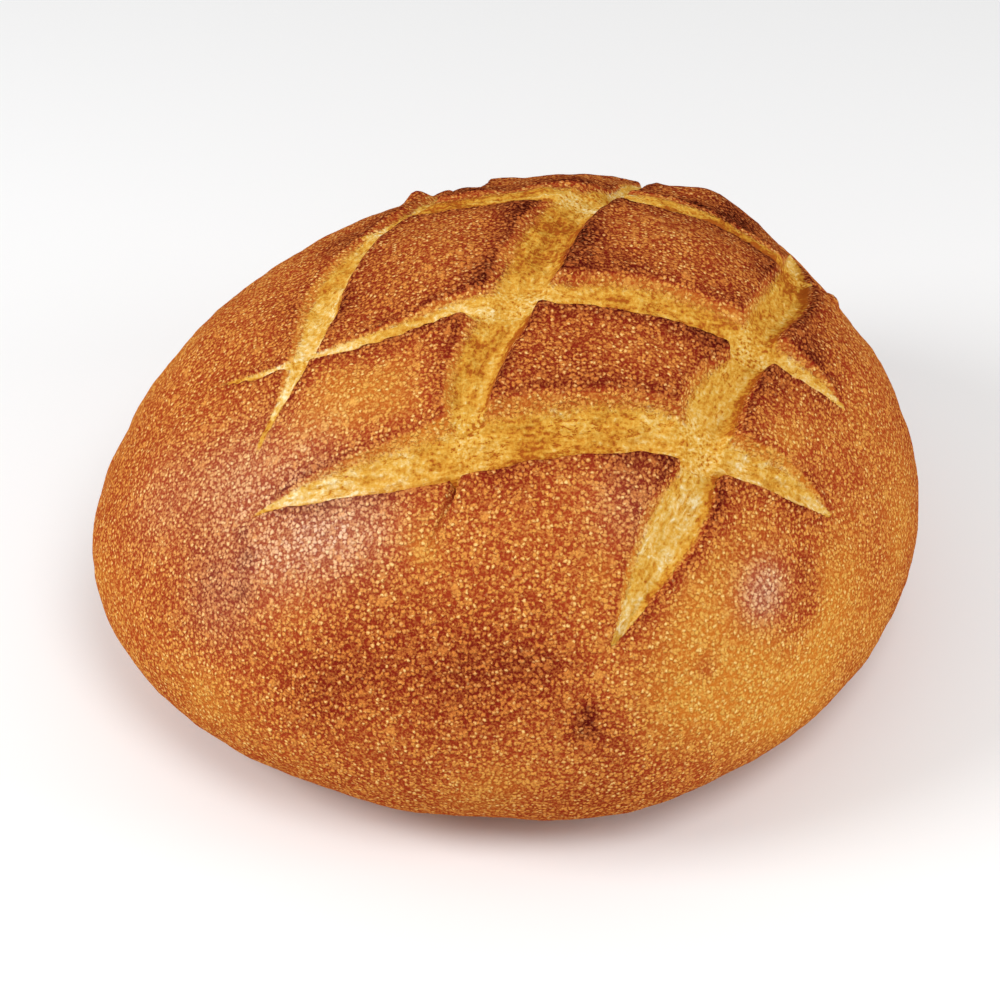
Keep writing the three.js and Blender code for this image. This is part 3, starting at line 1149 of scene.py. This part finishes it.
@dataclass(frozen=True)
class BlisterEffect:
    """A node group of round blisters with a dark net of lines between them.

    The fades run over the distance from a blister's middle, in sizes. Held fades in the cells
    that hold a blister, and chosen picks the cells with a pale speck, partly a painted glint, by
    their random number.
    """

    name: str = "Round blisters"
    randomness: float = 0.85
    tops_fade: tuple[float, float] = (0.66, 0.3)
    dome_fade: tuple[float, float] = (0.75, 0.1)
    speck_and_glint_fade: tuple[float, float] = (0.5, 0.1)
    held: tuple[float, float] = (-0.3, 0.3)
    empty_height: float = 0.3
    chosen: tuple[float, float] = (0.5, 1.0)

    def empty_group(self) -> bpy.types.NodeTree:
        """Makes the group with nothing inside.

        Returns:
            The group, with its inputs and outputs.
        """
        tree = bpy.data.node_groups.new(self.name, "ShaderNodeTree")
        for name, kind, way in (("Vector", "Vector", "INPUT"), ("Size", "Float", "INPUT"),
                                ("Wander", "Float", "INPUT"), ("Share", "Float", "INPUT"),
                                ("Tops", "Float", "OUTPUT"), ("Height", "Float", "OUTPUT"),
                                ("Specks and glints", "Float", "OUTPUT")):
            tree.interface.new_socket(name=name, in_out=way, socket_type="NodeSocket" + kind)
        return tree

    def cells(self, g: Graph, entry: bpy.types.Node) -> bpy.types.Node:
        """Divides the loaf into cells, one for each blister.

        Args:
            g: The group's node tree.
            entry: The group's inputs.

        Returns:
            The cells' node.
        """
        scale = g.math("DIVIDE", 1.0, entry.outputs["Size"])
        bend = g.add("TexNoise", {"Vector": entry.outputs["Vector"], "Scale": scale, "Detail": 1.0})
        centred = g.add("VectorMath", {0: bend.outputs["Color"], 1: NOISE_MIDDLE},
                        operation="SUBTRACT")
        reach = g.math("MULTIPLY", entry.outputs["Size"], entry.outputs["Wander"])
        pushed = g.add("VectorMath", {0: centred.outputs[0], "Scale": reach}, operation="SCALE")
        place = g.add("VectorMath", {0: entry.outputs["Vector"], 1: pushed.outputs[0]},
                      operation="ADD")
        return g.add("TexVoronoi", {"Vector": place.outputs[0], "Scale": scale,
                                    "Randomness": self.randomness})

    def group(self) -> bpy.types.NodeTree:
        """Makes the group, or finds it.

        Returns:
            The group, with inputs Vector, Size, Wander and Share, the share of cells that hold a
            blister. Its outputs are Tops, which is 1 on the blisters and 0 in the net between
            them, Height, and Specks, the palest middles.
        """
        found = bpy.data.node_groups.get(self.name)
        if found:
            return found
        tree = self.empty_group()
        g = Graph(tree)
        entry = tree.nodes.new("NodeGroupInput")
        finish = tree.nodes.new("NodeGroupOutput")
        cells = self.cells(g, entry)
        distance = cells.outputs["Distance"]
        split = g.add("SeparateColor", {"Color": cells.outputs["Color"]})
        held = g.math("SUBTRACT", entry.outputs["Share"], split.outputs[0])
        tops = g.math("MULTIPLY", g.remap(distance, *self.tops_fade), g.remap(held, *self.held))
        height = g.math("MULTIPLY", g.remap(distance, *self.dome_fade),
                        g.remap(held, *self.held, self.empty_height, 1.0))
        specks_and_glints = g.math("MULTIPLY", g.remap(distance, *self.speck_and_glint_fade),
                        g.remap(split.outputs[1], *self.chosen))
        g.feed(finish.inputs["Tops"], tops)
        g.feed(finish.inputs["Height"], height)
        g.feed(finish.inputs["Specks and glints"], g.math("MULTIPLY", specks_and_glints, tops))
        return tree

    def place(self, g: Graph, vector: bpy.types.NodeSocket, size: float, wander: float,
              share: float) -> bpy.types.Node:
        """Places the group in a material.

        Args:
            g: The material's node tree.
            vector: The place on the loaf.
            size: The blisters' size, in metres.
            wander: How far the pattern is pushed about, in sizes.
            share: The share of cells that hold a blister.

        Returns:
            The group's node.
        """
        node = g.tree.nodes.new("ShaderNodeGroup")
        node.node_tree = self.group()
        for name, value in (("Vector", vector), ("Size", size), ("Wander", wander), ("Share", share)):
            g.feed(node.inputs[name], value)
        return node


@dataclass(frozen=True)
class CrustLook:
    """Golden blisters in a net that darkens with baking and in places with painted shade, pale
    specks that are partly painted glints, a painted sheen where it shines, and a floury base.

    Small and large are the blisters' size in metres, wander and share. A pair of other numbers
    is a factor with what is added after it, or a range to map from, with one to map to if four.
    """

    net: Ramp = (
        (0.0, linear(0.78, 0.45, 0.15)),
        (0.28, linear(0.62, 0.23, 0.11)),
        (0.5, linear(0.51, 0.14, 0.08)),
        (0.75, linear(0.34, 0.06, 0.05)),
        (1.0, linear(0.18, 0.03, 0.02)),
    )
    tops: Ramp = (
        (0.0, linear(0.92, 0.70, 0.33)),
        (0.28, linear(0.90, 0.61, 0.28)),
        (0.5, linear(0.86, 0.53, 0.24)),
        (0.75, linear(0.77, 0.42, 0.20)),
        (1.0, linear(0.60, 0.27, 0.14)),
    )
    speck_and_glint: Colour = linear(1.0, 0.86, 0.56)
    painted_sheen: Colour = linear(0.97, 0.80, 0.64)
    base: tuple[Colour, Colour, Colour] = (
        linear(0.46, 0.24, 0.10),
        linear(0.60, 0.36, 0.17),
        linear(0.74, 0.56, 0.36),
    )
    small: tuple[float, float, float] = (1.15 * MM, 0.9, 0.78)
    large: tuple[float, float, float] = (2.7 * MM, 0.7, 0.11)
    broad: tuple[float, float] = (26.0, 4.0)
    toast: tuple[float, float] = (0.5, 0.08)
    rim_toast: float = 0.5
    small_tops: float = 0.85
    large_tops: float = 0.9
    tops_grain: tuple[float, float] = (1.9, -0.88)
    specks_and_glints_left: tuple[float, float, float, float] = (0.9, 0.4, 0.2, 0.8)
    painted_sheen_share: tuple[float, float] = (0.38, 0.09)
    base_patches: tuple[float, float] = (0.35, 0.65)
    base_grain: tuple[float, float] = (1.2, -0.3)
    small_height: float = 0.4
    large_height: float = 0.35
    base_height: tuple[float, float] = (-0.8, 1.0)
    fine_height: float = 0.16

    def blisters(self, g: Graph, place: bpy.types.NodeSocket) -> tuple[bpy.types.Node, bpy.types.Node]:
        """Adds the small and the large blisters.

        Args:
            g: The material's node tree.
            place: The place on the loaf.

        Returns:
            The small and the large blisters' nodes.
        """
        effect = BlisterEffect()
        return effect.place(g, place, *self.small), effect.place(g, place, *self.large)

    def colour(self, g: Graph, place: bpy.types.NodeSocket, blisters: tuple[bpy.types.Node, ...],
               fine: bpy.types.NodeSocket) -> bpy.types.NodeSocket:
        """Colours the crust and the base.

        Args:
            g: The material's node tree.
            place: The place on the loaf.
            blisters: The small and large blisters.
            fine: Fine grain.

        Returns:
            The crust's colour.
        """
        small, large = blisters
        broad = g.grain(place, *self.broad)
        # The toast takes in the browning mask, whose patches are partly painted light and shade.
        toast = g.total((g.scaled(broad, *self.toast), g.scaled(g.mask(Mask.RIM), self.rim_toast),
                         g.mask(Mask.BROWNING_AND_PAINTED_LIGHT)))
        tops = g.math("MAXIMUM", g.scaled(small.outputs["Tops"], self.small_tops),
                      g.scaled(large.outputs["Tops"], self.large_tops))
        tops = g.total((tops, g.scaled(fine, *self.tops_grain)))
        colour = g.mix(tops, g.ramp(toast, self.net), g.ramp(toast, self.tops))
        # Pale specks on the blister tips, partly painted glints of light.
        specks_and_glints = g.math("MULTIPLY", small.outputs["Specks and glints"], g.remap(toast, *self.specks_and_glints_left))
        colour = g.mix(specks_and_glints, colour, self.speck_and_glint)
        # Painted sheen: the colour turns pale pink where the crust shines.
        painted_sheen = g.math("MULTIPLY", g.mask(Mask.GLOSS_AND_PAINTED_SHEEN), g.scaled(tops, *self.painted_sheen_share))
        colour = g.mix(painted_sheen, colour, self.painted_sheen)
        dusting = g.mix(g.remap(broad, *self.base_patches), self.base[0], self.base[1])
        dusting = g.mix(g.scaled(fine, *self.base_grain), dusting, self.base[2])
        return g.mix(g.mask(Mask.BASE), colour, dusting)

    def height(self, g: Graph, blisters: tuple[bpy.types.Node, ...],
               fine: bpy.types.NodeSocket) -> bpy.types.NodeSocket:
        """Raises the blisters, which are lower on the base.

        Args:
            g: The material's node tree.
            blisters: The small and large blisters.
            fine: Fine grain.

        Returns:
            The crust's height, in millimetres.
        """
        small, large = blisters
        height = g.math("ADD", g.scaled(small.outputs["Height"], self.small_height),
                        g.scaled(large.outputs["Height"], self.large_height))
        height = g.math("MULTIPLY", height, g.scaled(g.mask(Mask.BASE), *self.base_height))
        return g.math("ADD", height, g.scaled(fine, self.fine_height))


@dataclass(frozen=True)
class CrumbLook:
    """Golden crumb with pale torn fibres and painted shade under the lifted edge.

    Fibre, pore and patch grains are a noise's scale and detail. The other numbers say how much
    each of them, and each mask, makes the crumb paler, or darker below zero.
    """

    colours: Ramp = (
        (0.0, linear(0.66, 0.34, 0.11)),
        (0.25, linear(0.80, 0.55, 0.18)),
        (0.5, linear(0.87, 0.67, 0.28)),
        (0.75, linear(0.91, 0.77, 0.47)),
        (1.0, linear(0.97, 0.90, 0.72)),
    )
    fibre_grain: tuple[float, float] = (620.0, 4.0)
    pore_grain: tuple[float, float] = (1000.0, 3.0)
    patch_grain: tuple[float, float] = (90.0, 2.0)
    crossing_pores: float = 0.6
    tear_level: float = -0.42
    tear_width: tuple[float, float] = (0.03, 0.0)
    tear_patches: tuple[float, float] = (0.5, 0.62)
    strand_paleness: float = 1.1
    pore_paleness: float = 1.2
    patch_paleness: tuple[float, float] = (0.9, -1.16)
    tear_paleness: float = -0.4
    pale_paleness: float = 0.24
    tone_paleness: float = -0.42
    crossing_paleness: float = 0.10
    pocket_shade_paleness: float = -0.34
    fibre_height: float = 0.6
    pore_height: float = 0.5

    def fibres(self, g: Graph) -> bpy.types.NodeSocket:
        """Adds torn fibres: sideways in the across slashes and lengthwise in the others.

        Args:
            g: The material's node tree.

        Returns:
            The fibres' value.
        """
        crown_map = g.add("Attribute", attribute_name=CROWN_MAP).outputs["Vector"]
        found = []
        for turn in (0.0, FIBRE_TURN):
            turned = g.add("VectorRotate", {"Vector": crown_map, "Angle": -turn},
                           rotation_type="Z_AXIS")
            squeezed = g.add("Mapping", {"Vector": turned.outputs[0],
                                         "Scale": (FIBRE_SQUEEZE, 1.0, 1.0)})
            found.append(g.grain(squeezed.outputs[0], *self.fibre_grain))
        return g.blend(g.mask(Mask.LENGTHWISE), *found)

    def colour(self, g: Graph, place: bpy.types.NodeSocket, fibre: bpy.types.NodeSocket,
               pores: bpy.types.NodeSocket) -> bpy.types.NodeSocket:
        """Colours the crumb.

        Args:
            g: The material's node tree.
            place: The place on the loaf.
            fibre: Fibres along the slash.
            pores: Fine pores.

        Returns:
            The crumb's colour.
        """
        patch = g.grain(place, *self.patch_grain)
        crossing = g.mask(Mask.CROSSING)
        strands = g.blend(g.scaled(crossing, self.crossing_pores), fibre, pores)
        line = g.math("ABSOLUTE", g.scaled(strands, 1.0, self.tear_level))
        tears = g.math("MULTIPLY", g.remap(line, *self.tear_width),
                       g.remap(patch, *self.tear_patches))
        pale = g.total((
            g.scaled(strands, self.strand_paleness),
            g.scaled(pores, self.pore_paleness),
            g.scaled(patch, *self.patch_paleness),
            g.scaled(tears, self.tear_paleness),
            g.scaled(g.mask(Mask.PALE), self.pale_paleness),
            g.scaled(g.mask(Mask.CRUMB_TONE), self.tone_paleness),
            g.scaled(g.math("MULTIPLY", crossing, patch), self.crossing_paleness),
            # Painted shade under the lifted crust edge darkens the crumb.
            g.scaled(g.mask(Mask.PAINTED_POCKET_SHADE), self.pocket_shade_paleness),
        ))
        return g.ramp(pale, self.colours)

    def height(self, g: Graph, fibre: bpy.types.NodeSocket,
               pores: bpy.types.NodeSocket) -> bpy.types.NodeSocket:
        """Raises the fibres and pores, in millimetres."""
        return g.math("ADD", g.scaled(fibre, self.fibre_height), g.scaled(pores, self.pore_height))


@dataclass(frozen=True)
class BakedFinish:
    """The baked crust, which gives way to torn yellow crumb inside the slashes."""

    name: str = "Baked crust"
    crust: CrustLook = CrustLook()
    crumb: CrumbLook = CrumbLook()
    fine_grain: tuple[float, float] = (1500.0, 2.0)
    ragged: tuple[float, float] = (0.9, -0.45)
    crumb_edge: tuple[float, float] = (0.2, 0.8)
    crust_roughness: tuple[float, float, float, float] = (0.3, 0.7, 0.5, 0.66)
    crumb_roughness: float = 0.85
    coat_roughness: float = 0.38

    def material(self) -> bpy.types.Material:
        """Makes the material.

        Returns:
            The finished material.
        """
        material = bpy.data.materials.new(self.name)
        material.use_nodes = True
        tree = material.node_tree
        tree.nodes.clear()
        g = Graph(tree)
        place = g.add("TexCoord").outputs["Object"]
        blisters = self.crust.blisters(g, place)
        fine = g.grain(place, *self.fine_grain)
        fibre = self.crumb.fibres(g)
        pores = g.grain(place, *self.crumb.pore_grain)
        share = g.remap(g.math("ADD", g.mask(Mask.CRUMB), g.scaled(fine, *self.ragged)),
                        *self.crumb_edge)
        height = g.blend(share, self.crust.height(g, blisters, fine),
                         self.crumb.height(g, fibre, pores))
        bump = g.add("Bump", {"Strength": 1.0, "Distance": MM, "Height": height})
        shader = g.add("BsdfPrincipled", {
            "Base Color": g.mix(share, self.crust.colour(g, place, blisters, fine),
                                self.crumb.colour(g, place, fibre, pores)),
            "Roughness": g.blend(share, g.remap(fine, *self.crust_roughness), self.crumb_roughness),
            "Specular IOR Level": 0.0,
            "Coat Weight": g.math("MULTIPLY", g.mask(Mask.GLOSS_AND_PAINTED_SHEEN), blisters[0].outputs["Tops"]),
            "Coat Roughness": self.coat_roughness,
            "Normal": bump.outputs["Normal"],
        })
        finish = tree.nodes.new("ShaderNodeOutputMaterial")
        g.feed(finish.inputs["Surface"], shader.outputs["BSDF"])
        return material


@dataclass(frozen=True)
class PlainFinish:
    """A plain matt finish, for the floor."""

    name: str
    colour: Colour
    roughness: float

    def material(self) -> bpy.types.Material:
        """Makes the material.

        Returns:
            The finished material.
        """
        material = bpy.data.materials.new(self.name)
        material.use_nodes = True
        shader = material.node_tree.nodes["Principled BSDF"]
        shader.inputs["Base Color"].default_value = self.colour
        shader.inputs["Roughness"].default_value = self.roughness
        return material


# ---------------------------------------------------------------------------
# The studio
# ---------------------------------------------------------------------------
@dataclass(frozen=True)
class SoftLight:
    """A large soft lamp, placed by its bearing from the front and its height above the floor.

    The bearing and elevation are in degrees, the distance and size in metres and the power in
    watts.
    """

    name: str
    bearing: float
    elevation: float
    distance: float
    size: float
    power: float
    colour: tuple[float, float, float] = (1.0, 1.0, 1.0)

    def build(self, target: Vector) -> None:
        """Adds the lamp, aimed at the target.

        Args:
            target: The point that the lamp faces, in metres.
        """
        lamp = bpy.data.lights.new(self.name, "AREA")
        lamp.shape = "DISK"
        lamp.size = self.size
        lamp.energy = self.power
        lamp.color = self.colour
        holder = bpy.data.objects.new(self.name, lamp)
        bpy.context.scene.collection.objects.link(holder)
        level = math.cos(math.radians(self.elevation))
        way = Vector((math.sin(math.radians(self.bearing)) * level,
                      -math.cos(math.radians(self.bearing)) * level,
                      math.sin(math.radians(self.elevation))))
        holder.location = target + way * self.distance
        holder.rotation_euler = (-way).to_track_quat("-Z", "Y").to_euler()


@dataclass(frozen=True)
class Studio:
    """The pale floor, the soft light and the camera, which is placed in millimetres."""

    camera_place: tuple[float, float, float] = (3.8, -600.5, 506.7)
    camera_aim: tuple[float, float, float] = (-2.35, -10.6, 43.3)
    lens: float = 91.66
    floor_size: float = 6.0
    floor_finish: PlainFinish = PlainFinish("Pale floor", (0.92, 0.92, 0.92, 1.0), 0.8)
    sky_colour: Colour = (1.0, 1.0, 1.0, 1.0)
    sky_strength: float = 0.52
    lights: tuple[SoftLight, ...] = (
        SoftLight("key_light", -74.0, 35.0, 1.2, 0.55, 7.3),
        SoftLight("front_light", 25.0, 60.0, 1.3, 0.6, 5.5),
        SoftLight("side_light", 78.0, 20.0, 1.3, 0.5, 4.0),
    )

    def build(self) -> None:
        """Adds the floor, lights, sky and camera."""
        self.lay_floor()
        for light in self.lights:
            light.build(Vector(self.camera_aim) * MM)
        self.open_sky()
        self.aim_camera()

    def lay_floor(self) -> None:
        """Adds the floor, which belongs to the studio and not to the loaf."""
        bpy.ops.object.select_all(action="DESELECT")
        bpy.ops.mesh.primitive_plane_add(size=self.floor_size)
        floor = bpy.context.object
        floor.name = "floor"
        floor.data.materials.append(self.floor_finish.material())

    def open_sky(self) -> None:
        """Adds the even light from all round and shows colours as they are."""
        world = bpy.data.worlds.new("Studio")
        world.use_nodes = True
        background = world.node_tree.nodes["Background"]
        background.inputs["Color"].default_value = self.sky_colour
        background.inputs["Strength"].default_value = self.sky_strength
        bpy.context.scene.world = world
        bpy.context.scene.view_settings.view_transform = "Standard"

    def aim_camera(self) -> None:
        """Adds the camera."""
        camera = bpy.data.cameras.new("camera")
        camera.lens = self.lens
        holder = bpy.data.objects.new("camera", camera)
        bpy.context.scene.collection.objects.link(holder)
        holder.location = Vector(self.camera_place) * MM
        way = Vector(self.camera_aim) * MM - Vector(self.camera_place) * MM
        holder.rotation_euler = way.to_track_quat("-Z", "Y").to_euler()
        bpy.context.scene.camera = holder


def main() -> None:
    """Builds the loaf and the studio round it."""
    logging.basicConfig(level=logging.INFO, format="%(name)s: %(message)s")
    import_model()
    low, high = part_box(NODE)
    loaf_shape = BakedLoaf()
    loaf = loaf_shape.build(low, high)
    loaf.data.materials.append(BakedFinish().material())
    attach(loaf, "root")
    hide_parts(NODE)
    log.info("baked loaf: %d points, %d faces", len(loaf.data.vertices), len(loaf.data.polygons))
    log.info("slashes: %s", ", ".join(slash.name for slash in loaf_shape.slashes))
    Studio().build()
    log.info("studio: floor, lights and camera")


if __name__ == "__main__":
    main()
